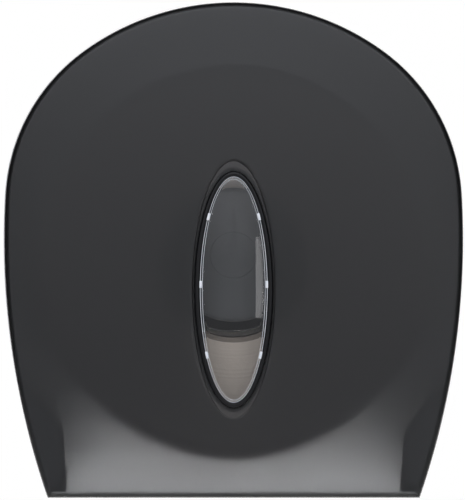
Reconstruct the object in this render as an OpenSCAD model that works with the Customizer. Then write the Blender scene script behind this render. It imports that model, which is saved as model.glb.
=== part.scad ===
// Jumbo toilet roll dispenser: a wall base with a turning hub, one big roll of paper hung on it,
// and a smoke-coloured cover that hinges at the bottom and locks at the top.
// Every piece is drawn in the wall frame, [across, up, out of the wall], and from_wall() stands it up:
// X to the right, Y into the wall, Z up, with the origin on the wall at the hub's axis.

/* [Outline] */
// Width of the front outline at its widest
front_w = 264.2; // [256:0.1:270]
// Top of the outline above the hub's axis
top_h = 145.4; // [142:0.1:150]
// Bottom of the outline below the hub's axis
bottom_h = 139.7; // [136:0.1:144]
// Radius of the arc over the top
top_r = 146.6; // [142:0.1:150]
// Radius of the arcs at the shoulders
shoulder_r = 109.6; // [100:0.1:118]
// Radius of the long arcs down the sides
side_r = 454; // [430:1:460]
// Height of the widest place above the hub's axis
widest_up = 9; // [4:0.5:14]

/* [Depth] */
// From the wall to the middle of the front
total_depth = 137; // [135:0.5:142]
// How far the middle of the front stands proud of its edge
crown = 5; // [3.5:0.1:6]
// How far each side grows from the front edge to the wall
flare_w = 0.5; // [0.4:0.1:1.5]

/* [Cover] */
// Wall of the cover
cover_t = 2.2; // [2:0.1:2.6]
// Radius of the front's outer edge
edge_r = 4; // [3.6:0.1:5]
// Radius of the raised round panel in the front
panel_r = 109.6; // [106:0.1:112]
// How far the panel's edge lies behind its middle
panel_drop = 2.4; // [1.5:0.1:2.8]
// Depth of the lip over the paper outlet
lip_d = 5; // [4.5:0.1:8]
// Gap between the cover and the base plate
cover_gap = 0.4; // [0.3:0.1:0.8]

/* [Window] */
// Centre of the window below the hub's axis
window_down = 19.9; // [17:0.1:23]
// Width of the hole in the cover
hole_w = 45.2; // [43:0.1:47]
// Height of the hole in the cover
hole_h = 136.2; // [132:0.1:140]
// Width of the sunk band beside the hole
recess_side = 1.4; // [1:0.1:2]
// Width of the sunk band above and below the hole
recess_end = 5.1; // [3:0.1:7]
// Depth of the sunk band
recess_d = 1.2; // [0.8:0.1:1.4]
// How far behind the middle of the front the hole's collar ends
collar_d = 9; // [8.5:0.1:11]
// Wall of the collar
collar_t = 2.2; // [1.8:0.1:2.6]
// Width of the black bezel's face
bezel_w = 2.9; // [2.6:0.1:3.3]
// Wall of the clear lens
lens_t = 1.6; // [1.4:0.1:2]
// Height of the lens's dome
lens_rise = 1.8; // [1.2:0.1:2.6]
// Depth of the lens's skirt
lens_skirt = 4.5; // [4:0.1:5]

/* [Base] */
// Thickness of the base plate
plate_t = 3; // [2.8:0.1:3.4]
// How far the plate shows round the cover
plate_lip = 0.6; // [0.4:0.1:1.5]
// How far the plate's lower end is tucked in behind the cover
plate_tuck = 1.5; // [1:0.1:2.5]
// Height of the rim inside the cover
rim_h = 22; // [16:0.5:24]
// Wall of the rim
rim_t = 2.2; // [1.8:0.1:2.6]
// Gap between the rim and the cover
rim_gap = 0.9; // [0.8:0.1:1.3]
// Distance across between the wall screws
wall_screw_across = 130; // [124:1:136]
// Distance up between the wall screws
wall_screw_up = 140; // [134:1:146]
// Diameter of the wall screws' holes
wall_screw_hole = 5.4; // [4.5:0.1:6]

/* [Cheeks] */
// Width of the cheeks at the bottom, in from the outline
cheek_w = 10.2; // [9.6:0.1:12]
// Wall of the cheeks
cheek_t = 2.5; // [2:0.1:3]
// Height above the bottom where the cheek meets the side
cheek_h = 64.4; // [62:0.1:68]
// Height above the bottom where the cheek's slope would meet its upright wall
knee_h = 39.7; // [38:0.1:42]
// Radius of the bend between slope and upright wall
knee_r = 18; // [12:0.5:20]
// Gap between the cheeks and the cover
cheek_gap = 1.2; // [0.9:0.1:1.5]
// How far the cheek's front panel is set back from its edge
cheek_sink = 1.5; // [1:0.1:3]
// Width of the cheek's foot
foot_w = 14; // [12:0.5:16]
// Height of the tear bars
tear_h = 13; // [11:0.5:15]
// Thickness of the tear bars
tear_t = 1.2; // [0.8:0.1:1.5]
// Distance between the tear bars' teeth
tooth_pitch = 3; // [2.5:0.1:4]

/* [Hinge] */
// Distance of the hinge from the wall
hinge_out = 18; // [17:0.1:19]
// Height of the hinge above the bottom
hinge_up = 10.7; // [10:0.1:11.5]
// Diameter of the hinge pins
pin_d = 5; // [4:0.1:6]
// Radius of the hinge's ears and lugs
lug_r = 7; // [6:0.1:7.5]
// Distance of the base's ears from the outline's side
ear_in = 17.1; // [16.7:0.1:18.5]
// Width of the base's ears
ear_w = 5; // [4:0.1:5.2]

/* [Hub] */
// Diameter of the hub's drum
hub_d = 68; // [66:0.1:70]
// Diameter of the hub's front flange
flange_d = 77.2; // [74:0.1:78]
// Diameter of the hub's rear flange
rear_flange_d = 90; // [86:0.5:94]
// Thickness of the flanges
flange_t = 3; // [2.6:0.1:3.4]
// Back of the hub's rear flange, out of the wall
hub_back = 20; // [19:0.5:22]
// Diameter of the cap in the front flange
cap_d = 26.4; // [26:0.1:28]
// Diameter of the fixed post
post_d = 16; // [14:0.1:17]

/* [Roll] */
// Gap between the hub and the back of the window
hub_gap = 8.9; // [8:0.1:13]
// Diameter of the full roll
roll_d = 225; // [150:1:228]
// Inner diameter of the roll's core
core_hole_d = 82; // [80:0.1:84]
// Wall of the roll's core
core_t = 2.8; // [1.5:0.1:3]

/* [Lock] */
// Distance of the lock from the wall
lock_out = 44; // [42:0.5:46]
// Diameter of the lock's barrel
barrel_d = 17; // [16:0.1:18]
// Length of the lock's barrel
barrel_l = 18; // [16:0.5:19]
// Diameter of the lock's plug
plug_d = 11; // [10:0.1:12]
// Reach of the lock's cam
cam_reach = 26; // [24:0.5:28]
// Width of the lock's cam
cam_w = 12; // [10:0.5:13]
// Thickness of the lock's cam
cam_t = 2; // [1.6:0.1:2.4]
// Side of the strike nearest the lock
strike_x = 10; // [9.5:0.1:12]
// Width of the strike
strike_w = 18; // [16:0.5:20]
// Thickness of the strike's plate
strike_t = 2.3; // [2:0.1:2.6]

/* [Hidden] */
$fn = 96;

charcoal = [0.16, 0.16, 0.18];
base_grey = [0.86, 0.87, 0.87];
hub_grey = [0.37, 0.39, 0.41];
smoke = [0.20, 0.20, 0.22, 0.75];
gloss_black = [0.04, 0.04, 0.05];
clear = [0.85, 0.87, 0.90, 0.3];
paper_white = [0.90, 0.89, 0.86];
card_brown = [0.64, 0.56, 0.49];
steel = [0.72, 0.72, 0.74];

run = 0.05;       // radial clearance of a turning fit
seat = 0.3;       // gap between a loose piece and what carries it
snap = 0.15;      // gap round a piece that snaps into a hole
far = 300;        // beyond every outline

// --- outline: three arcs a side, tangent to each other, and a straight bottom ---
top_c = [0, top_h - top_r];
side_c = [front_w / 2 - side_r, widest_up];
arc_span = norm(top_c - side_c);
arc_line = (top_c - side_c) / arc_span;
arc_along = (pow(side_r - shoulder_r, 2) - pow(top_r - shoulder_r, 2) + arc_span * arc_span) / (2 * arc_span);
arc_rise = sqrt(pow(side_r - shoulder_r, 2) - arc_along * arc_along);
shoulder_c = side_c + arc_along * arc_line + arc_rise * [-arc_line[1], arc_line[0]];
top_turn = (shoulder_c - top_c) / norm(shoulder_c - top_c);
side_turn = (shoulder_c - side_c) / norm(shoulder_c - side_c);

function polar_angle(p) = atan2(p[1], p[0]);

// Distance from the hub's axis to the outline, moved in by inset and out by grow.
// The straight bottom follows inset alone.
function reach(a, inset, grow = 0) =
    let (
        d = [abs(cos(a)), sin(a)],
        cut = inset - grow,
        b = polar_angle(d),
        arc = b > polar_angle(top_c + (top_r - cut) * top_turn) ? [top_c, top_r - cut]
            : b > polar_angle(side_c + (side_r - cut) * side_turn) ? [shoulder_c, shoulder_r - cut]
            : [side_c, side_r - cut],
        m = arc[0] * d,
        to_arc = m + sqrt(m * m - arc[0] * arc[0] + arc[1] * arc[1])
    )
    d[1] < 0 ? min(to_arc, (inset - bottom_h) / d[1]) : to_arc;

// Half of the outline's width at a height on its side arcs
function side_x(up, inset, grow = 0) =
    side_c[0] + sqrt(pow(side_r - inset + grow, 2) - pow(up - side_c[1], 2));

// Points run from the right-hand corner over the top to the left-hand one, and back along the bottom
round_steps = 84;
bottom_steps = 20;
ring_size = round_steps + bottom_steps + 2;
lip_turn = 0.25;  // turn in degrees between a corner and the end of the bottom's lip

function corner_angle(inset, grow) = polar_angle([side_x(inset - bottom_h, inset, grow), inset - bottom_h]);
function turn_of(k, inset, grow) =
    let (c = corner_angle(inset, grow))
    k <= round_steps ? c + k * (180 - 2 * c) / round_steps
    : 180 - c + lip_turn + (k - round_steps - 1) * (180 + 2 * c - 2 * lip_turn) / bottom_steps;
function outline_point(k, inset, grow = 0) =
    let (a = turn_of(k, inset, grow))
    reach(a, inset, grow) * [cos(a), sin(a)];

// --- depths, all measured out of the wall ---
edge_out = total_depth - crown;             // the front's outer edge
wall_front = edge_out - edge_r;             // where the sides meet the edge's rounding
wall_back = plate_t + cover_gap;
collar_out = total_depth - collar_d;
bezel_tail = 1.7;                           // how far the bezel reaches behind the cover's collar
bezel_back = collar_out - bezel_tail;
hinge_y = hinge_up - bottom_h;
ear_x = side_x(hinge_y, 0) - ear_in;        // the base's ears
swing_r = hinge_out - wall_back;            // room for the cover's heel behind the hinge

function grow_at(out) = flare_w * (wall_front - out) / (wall_front - plate_t);

// Where the cover's wall ends: at the lip, on the heel's arc below the hinge, or at the base plate
function wall_end(k) =
    let (up = outline_point(k, 0)[1])
    k > round_steps ? edge_out - lip_d
    : up < hinge_y ? hinge_out - sqrt(swing_r * swing_r - pow(up - hinge_y, 2))
    : wall_back;

// Distance of the cover's outer face from the wall at a point of the front
function front_out(p) =
    let (r = norm(p), edge = reach(polar_angle(p), edge_r))
    r < panel_r + 0.01 ? total_depth - panel_drop * pow(r / panel_r, 2)
    : total_depth - panel_drop - (crown - panel_drop) * (r - panel_r) / (edge - panel_r);

// --- surfaces swept through rings of points ---
function at(points, out) = [for (p = points) [p[0], p[1], out]];
function on_front(points, lift) = [for (p = points) [p[0], p[1], front_out(p) + lift]];
function between(a, b, t) = [for (i = [0:len(a) - 1]) a[i] * (1 - t) + b[i] * t];
ring_turns = [for (k = [0:ring_size - 1]) turn_of(k, 0, 0)];
function even_turns(n) = [for (i = [0:n - 1]) 360 * i / n];
function oval(w, h, turns) = [for (a = turns) [w / 2 * cos(a), h / 2 * sin(a) - window_down]];
function round_ring(r) = [for (a = ring_turns) r * [cos(a), sin(a)]];
function inset_ring(inset) = [for (k = [0:ring_size - 1]) outline_point(k, inset)];
function back_ring(inset) = [for (k = [0:ring_size - 1])
    let (e = wall_end(k), p = outline_point(k, inset, grow_at(e))) [p[0], p[1], e]];
function band(i, j, n) = [for (k = [0:n - 1]) each [
    [i * n + k, j * n + (k + 1) % n, j * n + k],
    [i * n + k, i * n + (k + 1) % n, j * n + (k + 1) % n]
]];

// One closed skin through rings of equal length. A looped one joins its last ring to its first.
module skin(rings, looped) {
    n = len(rings[0]);
    m = len(rings);
    bands = [for (i = [0:m - (looped ? 1 : 2)]) each band(i, (i + 1) % m, n)];
    caps = looped ? [] : [[for (k = [n - 1:-1:0]) k], [for (k = [0:n - 1]) (m - 1) * n + k]];
    polyhedron(points = [for (r = rings) each r], faces = concat(bands, caps), convexity = 8);
}

module from_wall() rotate([90, 0, 0]) children();
module left_of() mirror([1, 0, 0]) children();
module slab(from, to) translate([0, 0, from]) linear_extrude(to - from) children();
module rod(d, from, to) slab(from, to) circle(d = d);
module tube(outer, inner, from, to) slab(from, to) difference() {
    circle(d = outer);
    circle(d = inner);
}
// Drawn as [across, towards the wall], standing up at a distance from the wall
module upright(out, from, to) translate([0, from, out]) rotate([-90, 0, 0]) linear_extrude(to - from) children();
// Drawn as [towards the wall, up], running across
module across(out, up, from, to) translate([from, up, out]) rotate([0, 90, 0]) linear_extrude(to - from) children();

module outline_area(inset, grow = 0) polygon([for (k = [0:round_steps]) outline_point(k, inset, grow)]);
module above(up) translate([-far, up]) square([2 * far, far]);

// --- screws ---
screw_d = 3;
screw_head = 6;
pilot_d = 3.2;        // hole that a small screw bites in
free_d = 3.5;         // hole that it passes through
bite = 2.2;           // length of screw in the base plate
pilot_floor = 0.6;    // plate left behind a pilot hole

// A pan-head screw that points into the wall: its head rests at z = 0, its tip is length behind that
module pan_screw(d, head_d, length) {
    head_h = head_d * 0.34;
    cross_w = head_d * 0.14;
    difference() {
        union() {
            rod(d, -length, 0.1);
            rotate_extrude() polygon([
                [0, 0], [head_d / 2, 0], [head_d / 2, head_h * 0.45], [head_d * 0.3, head_h], [0, head_h]
            ]);
        }
        for (turn = [0, 90]) rotate(turn)
            translate([-head_d * 0.28, -cross_w / 2, head_h * 0.4]) cube([head_d * 0.56, cross_w, head_h]);
    }
}

// --- cheeks: boxes in the lower corners that flank the paper outlet ---
cheek_inset = cover_t + cheek_gap;
cheek_front = edge_out - cover_t - cheek_gap;
cheek_bottom = cheek_inset - bottom_h;
cheek_top = bottom_h - cheek_h;
cheek_knee = bottom_h - knee_h;
chute_x = side_x(-bottom_h, 0) - cheek_w;    // the paper outlet's side
heel_gap = 1;
box_back = hinge_out + swing_r + heel_gap;
heel_room = 17;
heel_top = hinge_y + heel_room;              // below this the cheek keeps clear of the hinge
foot_t = 3;
foot_top = -cheek_top - 2.7;
foot_screws_down = [7, 27];
foot_screw_up = [for (down = foot_screws_down) foot_top - down];
knee_run = side_x(-cheek_top, cheek_inset) - chute_x;
knee_turn = atan2(cheek_knee - cheek_top, knee_run);
knee_set = knee_r * tan((90 - knee_turn) / 2);
knee_c = [chute_x + knee_r, -cheek_knee - knee_set];
knee_steps = 8;
side_steps = 10;
chute_edge = concat(
    [[side_x(-cheek_top, cheek_inset), -cheek_top]],
    [for (i = [0:knee_steps])
        let (a = 90 + knee_turn + i * (90 - knee_turn) / knee_steps)
        knee_c + knee_r * [cos(a), sin(a)]],
    [[chute_x, cheek_bottom]]
);
function chute_at(up) = chute_x + max(0, up + cheek_knee) * knee_run / (cheek_knee - cheek_top);
foot_screws = [for (side = [-1, 1], up = foot_screw_up) [side * (chute_at(up) - foot_w / 2), up]];

module cheek_area() polygon(concat(chute_edge, [for (i = [0:side_steps])
    let (up = cheek_bottom - i * (cheek_top + cheek_bottom) / side_steps)
    [side_x(up, cheek_inset), up]]));
module beyond_chute() polygon(concat(chute_edge, [[far, cheek_bottom], [far, -cheek_top]]));
module chute_wall_area() intersection() {
    cheek_area();
    difference() {
        beyond_chute();
        translate([cheek_t, -cheek_t * tan((90 - knee_turn) / 2)]) beyond_chute();
    }
}
module foot_area() intersection() {
    difference() {
        translate([-foot_w, 0]) beyond_chute();
        translate([cheek_t / 2, 0]) beyond_chute();
    }
    translate([0, heel_top]) square([far, foot_top - heel_top]);
}

module cheek() from_wall() difference() {
    union() {
        slab(plate_t, cheek_front) intersection() {
            chute_wall_area();
            above(heel_top);
        }
        slab(box_back, cheek_front) chute_wall_area();
        slab(box_back, box_back + cheek_t) cheek_area();
        slab(cheek_front - cheek_sink - cheek_t, cheek_front - cheek_sink) cheek_area();
        slab(box_back, cheek_front) intersection() {
            cheek_area();
            translate([0, cheek_bottom]) square([far, cheek_t]);
        }
        slab(plate_t, plate_t + foot_t) foot_area();
        for (out = peg_outs) across(out, peg_up, chute_x - tear_t - peg_proud, chute_x + 0.5) circle(d = peg_d);
    }
    for (p = foot_screws) translate(p) rod(free_d, plate_t - 1, plate_t + foot_t + 1);
}
module right_cheek() color(charcoal) cheek();
module left_cheek() color(charcoal) left_of() cheek();

module cheek_screws() color(steel) from_wall() for (p = foot_screws)
    translate([p[0], p[1], plate_t + foot_t]) pan_screw(screw_d, screw_head, foot_t + bite);

// --- tear bars: toothed strips on the cheeks, beside the paper ---
tear_back = box_back + 2;
tear_teeth = floor((cheek_front - 2 - tear_back) / tooth_pitch);
tear_l = tear_teeth * tooth_pitch;
tooth_h = 2;
tear_low = cheek_bottom + 0.4;
peg_d = 3;
peg_proud = 0.4;
peg_up = tear_low + tear_h * 0.6;
peg_outs = [tear_back + 12, tear_back + tear_l - 12];

module tear_bar() from_wall() across(0, 0, chute_x - tear_t, chute_x) difference() {
    polygon(concat(
        [[-tear_back, tear_low + tear_h], [-tear_back, tear_low + tooth_h]],
        [for (i = [0:tear_teeth - 1]) each [
            [-tear_back - (i + 0.5) * tooth_pitch, tear_low],
            [-tear_back - (i + 1) * tooth_pitch, tear_low + tooth_h]
        ]],
        [[-tear_back - tear_l, tear_low + tear_h]]
    ));
    for (out = peg_outs) translate([-out, peg_up]) circle(d = peg_d + 2 * snap);
}
module right_tear_bar() color(steel) tear_bar();
module left_tear_bar() color(steel) left_of() tear_bar();

// --- heights of the lock and of the strike below its cam ---
cover_top = top_h + grow_at(lock_out);      // the cover's outer face over the lock
lock_top = cover_top - 0.1;
barrel_bottom = lock_top - barrel_l;
cam_top = barrel_bottom - seat;
cam_bottom = cam_top - cam_t;
cam_clear = 2;                               // room between the cam and the strike's arm
strike_arm = cam_bottom - cam_clear;
strike_foot_h = 22;
strike_screws_up = strike_arm - strike_t - 14;
strike_screws_apart = 9;
strike_spots = [for (i = [-0.5, 0.5]) [strike_x + strike_w / 2 + i * strike_screws_apart, strike_screws_up]];

// --- base plate ---
rim_inset = cover_t + rim_gap - grow_at(plate_t + rim_h);
rim_lift = 2;         // gap between the cheeks and the rim
screw_pad_d = 16;
screw_pad_h = 2;
rib_ring_d = 104;
rib_w = 2;
rib_h = 3;
rib_l = 46;
post_flange_d = 56;
post_flange_t = 3.5;
post_pcd = 40;
post_spots = [for (turn = [45:90:315]) post_pcd / 2 * [cos(turn), sin(turn)]];
wall_spots = [for (i = [-1, 1], j = [-1, 1]) [i * wall_screw_across / 2, j * wall_screw_up / 2]];

module base_plate() color(base_grey) from_wall() difference() {
    union() {
        // its edge shows round the cover as far down as the cheeks
        slab(0, plate_t) {
            outline_area(plate_tuck, flare_w);
            intersection() {
                outline_area(-plate_lip, flare_w);
                above(-cheek_top);
            }
        }
        // rim that the cover closes over, above the cheeks
        slab(plate_t, plate_t + rim_h) intersection() {
            difference() {
                outline_area(rim_inset);
                outline_area(rim_inset + rim_t);
            }
            above(-cheek_top + rim_lift);
        }
        // stiffening ribs: a ring round the hub's post and six spokes
        tube(rib_ring_d, rib_ring_d - 2 * rib_w, plate_t, plate_t + rib_h);
        for (i = [0:5]) rotate(60 * i)
            translate([rib_ring_d / 2 - rib_w / 2, -rib_w / 2, plate_t]) cube([rib_l, rib_w, rib_h]);
        for (p = wall_spots) translate(p) rod(screw_pad_d, plate_t, plate_t + screw_pad_h);
        hinge_ear();
        left_of() hinge_ear();
    }
    for (p = wall_spots) translate(p) rod(wall_screw_hole, -1, plate_t + screw_pad_h + 1);
    for (p = concat(post_spots, strike_spots, foot_screws)) translate(p) rod(pilot_d, pilot_floor, plate_t + 1);
    hinge_bore();
    left_of() hinge_bore();
}
module hinge_ear() across(hinge_out, hinge_y, ear_x, ear_x + ear_w) {
    circle(r = lug_r);
    translate([0, -lug_r]) square([hinge_out - plate_t, 2 * lug_r]);
}
module hinge_bore() across(hinge_out, hinge_y, ear_x - 1, ear_x + ear_w + 1) circle(d = pin_d + 2 * run);

// --- hinge ---
pin_head_d = 9;
pin_head_t = 2;
lug_gap = 0.6;
lug_x = ear_x + ear_w + lug_gap;
pin_in_lug = 8.5;
lug_seat = 0.05;      // between the lug and the cover's wall

module hinge_pin() from_wall() {
    across(hinge_out, hinge_y, ear_x - pin_head_t, ear_x) circle(d = pin_head_d);
    across(hinge_out, hinge_y, ear_x - 0.1, lug_x + pin_in_lug) circle(d = pin_d);
}
module right_hinge_pin() color(steel) hinge_pin();
module left_hinge_pin() color(steel) left_of() hinge_pin();

module hinge_lug() from_wall() intersection() {
    across(hinge_out, hinge_y, lug_x, far / 2) difference() {
        circle(r = lug_r);
        circle(d = pin_d + 2 * run);
    }
    slab(0, 2 * hinge_out) outline_area(cover_t + lug_seat, grow_at(hinge_out + lug_r));
}
module right_hinge_lug() color(charcoal) hinge_lug();
module left_hinge_lug() color(charcoal) left_of() hinge_lug();

// --- hub and the post that it turns on ---
roll_play = 0.7;
roll_back = hub_back + flange_t + roll_play;
hub_front = bezel_back - hub_gap;
flange_back = hub_front - flange_t;
roll_front = flange_back - roll_play;
sleeve_d = 22;
cap_h = 4.9;                  // depth of the cap with its skirt
screw_room = 2.5;             // depth behind the cap for the hub's screw and washer
cap_ledge = hub_front - cap_h;
sleeve_front = cap_ledge - screw_room;
sleeve_floor_t = 2.5;
drum_t = 2.5;
hub_ribs = 6;
hub_rib_w = 2;
cap_t = 1.8;
cap_skirt_t = 1.5;
cap_sink = 0.2;
well_d = cap_d + 2 * snap;
well_t = 2.3;
flange_bevel = 0.8;

shoulder_d = 22;
shoulder_t = 1.7;
gusset_t = 3;
post_end = sleeve_front + 0.4;
post_pilot = 4.2;
hub_screw_d = 4;
hub_screw_head = 8.4;
hub_screw_l = 13;
washer_d = 22;
washer_t = 1.6;

module hub_post() color(base_grey) from_wall() {
    shoulder = hub_back - seat;
    difference() {
        union() {
            rod(post_flange_d, plate_t, plate_t + post_flange_t);
            rod(post_d, plate_t, post_end);
            rod(shoulder_d, shoulder - shoulder_t, shoulder);
            for (turn = [0:90:270]) rotate(turn)
                translate([0, -gusset_t / 2, plate_t]) cube([post_pcd / 2, gusset_t, shoulder - plate_t]);
        }
        for (p = post_spots) translate(p) rod(free_d, 0, plate_t + post_flange_t + 1);
        rod(post_pilot, post_end - hub_screw_l - 1, post_end + 1);
    }
}
module post_screws() color(steel) from_wall() for (p = post_spots)
    translate([p[0], p[1], plate_t + post_flange_t]) pan_screw(screw_d, screw_head, post_flange_t + bite);
module hub_washer() color(steel) from_wall() tube(washer_d, hub_screw_d + 0.4, post_end, post_end + washer_t);
module hub_screw() color(steel) from_wall()
    translate([0, 0, post_end + washer_t]) pan_screw(hub_screw_d, hub_screw_head, hub_screw_l);

module hub() color(hub_grey) from_wall() {
    bore_r = post_d / 2 + run;
    sleeve_r = sleeve_d / 2;
    drum_r = hub_d / 2;
    inner_r = drum_r - drum_t;
    flange_r = flange_d / 2;
    rear_r = rear_flange_d / 2;
    well_r = well_d / 2;
    sleeve_floor = sleeve_front - sleeve_floor_t;
    rotate_extrude() polygon([
        [bore_r, hub_back], [sleeve_r, hub_back], [sleeve_r, sleeve_floor],
        [well_r + well_t, sleeve_floor], [well_r + well_t, flange_back], [inner_r, flange_back],
        [inner_r, hub_back], [rear_r, hub_back], [rear_r, hub_back + flange_t], [drum_r, hub_back + flange_t],
        [drum_r, flange_back], [flange_r, flange_back], [flange_r, hub_front - flange_bevel],
        [flange_r - flange_bevel, hub_front], [well_r, hub_front], [well_r, cap_ledge],
        [washer_d / 2 + 1, cap_ledge], [washer_d / 2 + 1, sleeve_front], [bore_r, sleeve_front]
    ]);
    for (i = [0:hub_ribs - 1]) rotate(360 * i / hub_ribs)
        translate([sleeve_r - 0.5, -hub_rib_w / 2, hub_back + 1])
            cube([inner_r - sleeve_r + 1, hub_rib_w, sleeve_floor - hub_back - 2]);
}
module hub_cap() color(hub_grey) from_wall() {
    face = hub_front - cap_sink;
    rod(cap_d, face - cap_t, face);
    tube(cap_d, cap_d - 2 * cap_skirt_t, cap_ledge, face - cap_t + 0.1);
}

// --- roll: its core hangs on the top of the drum ---
roll_down = (core_hole_d - hub_d) / 2 - seat;
core_d = core_hole_d + 2 * core_t;
roll_bevel = 1;

module paper_roll() color(paper_white) from_wall() translate([0, -roll_down, 0])
    rotate_extrude($fn = 192) polygon([
        [core_d / 2, roll_back], [roll_d / 2 - roll_bevel, roll_back], [roll_d / 2, roll_back + roll_bevel],
        [roll_d / 2, roll_front - roll_bevel], [roll_d / 2 - roll_bevel, roll_front], [core_d / 2, roll_front]
    ]);
module roll_core() color(card_brown) from_wall() translate([0, -roll_down, 0])
    tube(core_d, core_hole_d, roll_back, roll_front);

// --- cover ---
recess_w = hole_w + 2 * recess_side;
recess_h = hole_h + 2 * recess_end;
recess_bevel = 0.4;
barrel_head_d = 20;
barrel_head_t = 1.2;
edge_steps = 4;
inner_edge_r = edge_r - cover_t;
inner_steps = 2;

function window_ring(w, h, lift) = on_front(oval(w, h, ring_turns), lift);
function panel_ring(t, lift) = on_front(between(round_ring(panel_r), oval(recess_w, recess_h, ring_turns), t), lift);

module front_cover() color(smoke) from_wall() difference() {
    skin(concat(
        [back_ring(0)],
        // rounded outer edge of the front
        [for (i = [0:edge_steps])
            let (t = 90 * i / edge_steps)
            at(inset_ring(edge_r * (1 - cos(t))), wall_front + edge_r * sin(t))],
        // the front, in to the window, and back over its inside
        [for (t = [0, 0.35, 0.7]) panel_ring(t, 0)],
        [
            window_ring(recess_w, recess_h, 0),
            window_ring(recess_w - 2 * recess_bevel, recess_h - 2 * recess_bevel, -recess_d),
            window_ring(hole_w, hole_h, -recess_d),
            at(oval(hole_w, hole_h, ring_turns), collar_out),
            at(oval(hole_w + 2 * collar_t, hole_h + 2 * collar_t, ring_turns), collar_out),
            window_ring(hole_w + 2 * collar_t, hole_h + 2 * collar_t, -cover_t),
        ],
        [for (t = [0.7, 0.35, 0]) panel_ring(t, -cover_t)],
        // inside of the outer edge
        [for (i = [inner_steps:-1:0])
            let (t = 90 * i / inner_steps)
            at(inset_ring(edge_r - inner_edge_r * cos(t)), wall_front + inner_edge_r * sin(t))],
        [back_ring(cover_t)]
    ), true);
    upright(lock_out, cover_top - 2 * cover_t, cover_top + 2) circle(d = barrel_d + 2 * snap);
    upright(lock_out, lock_top - barrel_head_t - 0.05, cover_top + 2) circle(d = barrel_head_d + 2 * snap);
}

// --- window ---
bezel_lift = -0.2;            // the bezel's face from the cover's
bezel_round = 0.7;
bezel_steps = 3;
bead_front = collar_out - seat;
bead_out = 0.9;               // how far the snap bead reaches over the collar's end
lens_inset = bezel_w + snap;
lens_lift = -0.8;             // the lens's edge from the cover's face
lens_low = lens_lift - lens_skirt;
ledge_w = 0.9;
dome_steps = [0.97, 0.9, 0.75, 0.5, 0.25, 0.04];

function hole_oval(inset) = oval(hole_w - 2 * inset, hole_h - 2 * inset, even_turns(96));
function lens_oval(s, inset) =
    let (cut = 2 * (lens_inset + inset))
    oval(s * (hole_w - cut), s * (hole_h - cut), even_turns(96));
function dome(s, lift) = on_front(lens_oval(s, 0), lift + lens_rise * (1 - s * s));

module window_bezel() color(gloss_black) from_wall() skin(concat(
    // snap bead behind the cover's collar
    [
        at(hole_oval(0.5 - bead_out), bezel_back),
        at(hole_oval(-bead_out), bezel_back + 0.5),
        at(hole_oval(-bead_out), bead_front - 0.4),
        at(hole_oval(snap), bead_front),
    ],
    // rounded face
    [for (i = [0:bezel_steps])
        let (t = 180 * i / bezel_steps, half = (bezel_w - snap) / 2)
        on_front(hole_oval(snap + half * (1 - cos(t))), bezel_lift - bezel_round * (1 - sin(t)))],
    // ledge that the lens stands on
    [
        on_front(hole_oval(bezel_w), lens_low - run),
        on_front(hole_oval(bezel_w + ledge_w), lens_low - run),
        at(hole_oval(bezel_w + ledge_w), bezel_back),
    ]
), true);

module window_lens() color(clear) from_wall() skin(concat(
    [for (i = [len(dome_steps) - 1:-1:0]) dome(dome_steps[i], lens_lift)],
    [
        on_front(lens_oval(1, 0.2), lens_lift - 0.1),
        on_front(lens_oval(1, 0), lens_lift - 0.5),
        on_front(lens_oval(1, 0), lens_low),
        on_front(lens_oval(1, lens_t), lens_low),
        on_front(lens_oval(1, lens_t), lens_lift - lens_t),
    ],
    [for (i = [2:len(dome_steps) - 1]) dome(dome_steps[i], lens_lift - lens_t)]
), false);

// --- lock ---
nut_d = 24;
nut_t = 4;
nut_top = cover_top - cover_t - 0.8;
key_w = 1.6;
key_l = 6.5;
key_d = 3;
cam_hub_d = 16;
cam_screw_l = 8;

module lock_barrel() color(steel) from_wall() difference() {
    union() {
        upright(lock_out, barrel_bottom, lock_top) circle(d = barrel_d);
        upright(lock_out, lock_top - barrel_head_t, lock_top) circle(d = barrel_head_d);
    }
    upright(lock_out, barrel_bottom - 1, lock_top + 1) circle(d = plug_d + 2 * run);
}
module lock_nut() color(steel) from_wall() upright(lock_out, nut_top - nut_t, nut_top) difference() {
    circle(d = nut_d, $fn = 6);
    circle(d = barrel_d + 2 * run);
}
module lock_plug() color(charcoal) from_wall() difference() {
    upright(lock_out, cam_top, lock_top - 0.2) circle(d = plug_d);
    upright(lock_out, lock_top - 0.2 - key_d, lock_top + 1) square([key_w, key_l], center = true);
    upright(lock_out, cam_top - 1, cam_top + cam_screw_l + 0.5) circle(d = pilot_d);
}
module lock_cam() color(steel) from_wall() upright(lock_out, cam_bottom, cam_top) difference() {
    union() {
        circle(d = cam_hub_d);
        translate([0, -cam_w / 2]) square([cam_reach - cam_w / 2, cam_w]);
        translate([cam_reach - cam_w / 2, 0]) circle(d = cam_w);
    }
    circle(d = free_d);
}
module cam_screw() color(steel) from_wall()
    translate([0, cam_bottom, lock_out]) rotate([90, 0, 0]) pan_screw(screw_d, screw_head, cam_t + cam_screw_l);

// --- strike: a foot on the plate, an arm under the cam, and a lip in front of it ---
strike_lip_back = lock_out + cam_w / 2 + 0.9;
strike_lip_h = cam_clear + cam_t + 2;

module lock_strike() color(steel) from_wall() difference() {
    across(0, 0, strike_x, strike_x + strike_w) {
        translate([-plate_t - strike_t, strike_arm - strike_t - strike_foot_h]) square([strike_t, strike_foot_h + 1]);
        translate([-strike_lip_back - strike_t, strike_arm - strike_t])
            square([strike_lip_back + strike_t - plate_t, strike_t]);
        translate([-strike_lip_back - strike_t, strike_arm - 1]) square([strike_t, strike_lip_h + 1]);
    }
    for (p = strike_spots) translate(p) rod(free_d, 0, plate_t + strike_t + 1);
}
module strike_screws() color(steel) from_wall() for (p = strike_spots)
    translate([p[0], p[1], plate_t + strike_t]) pan_screw(screw_d, screw_head, strike_t + bite);

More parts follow.
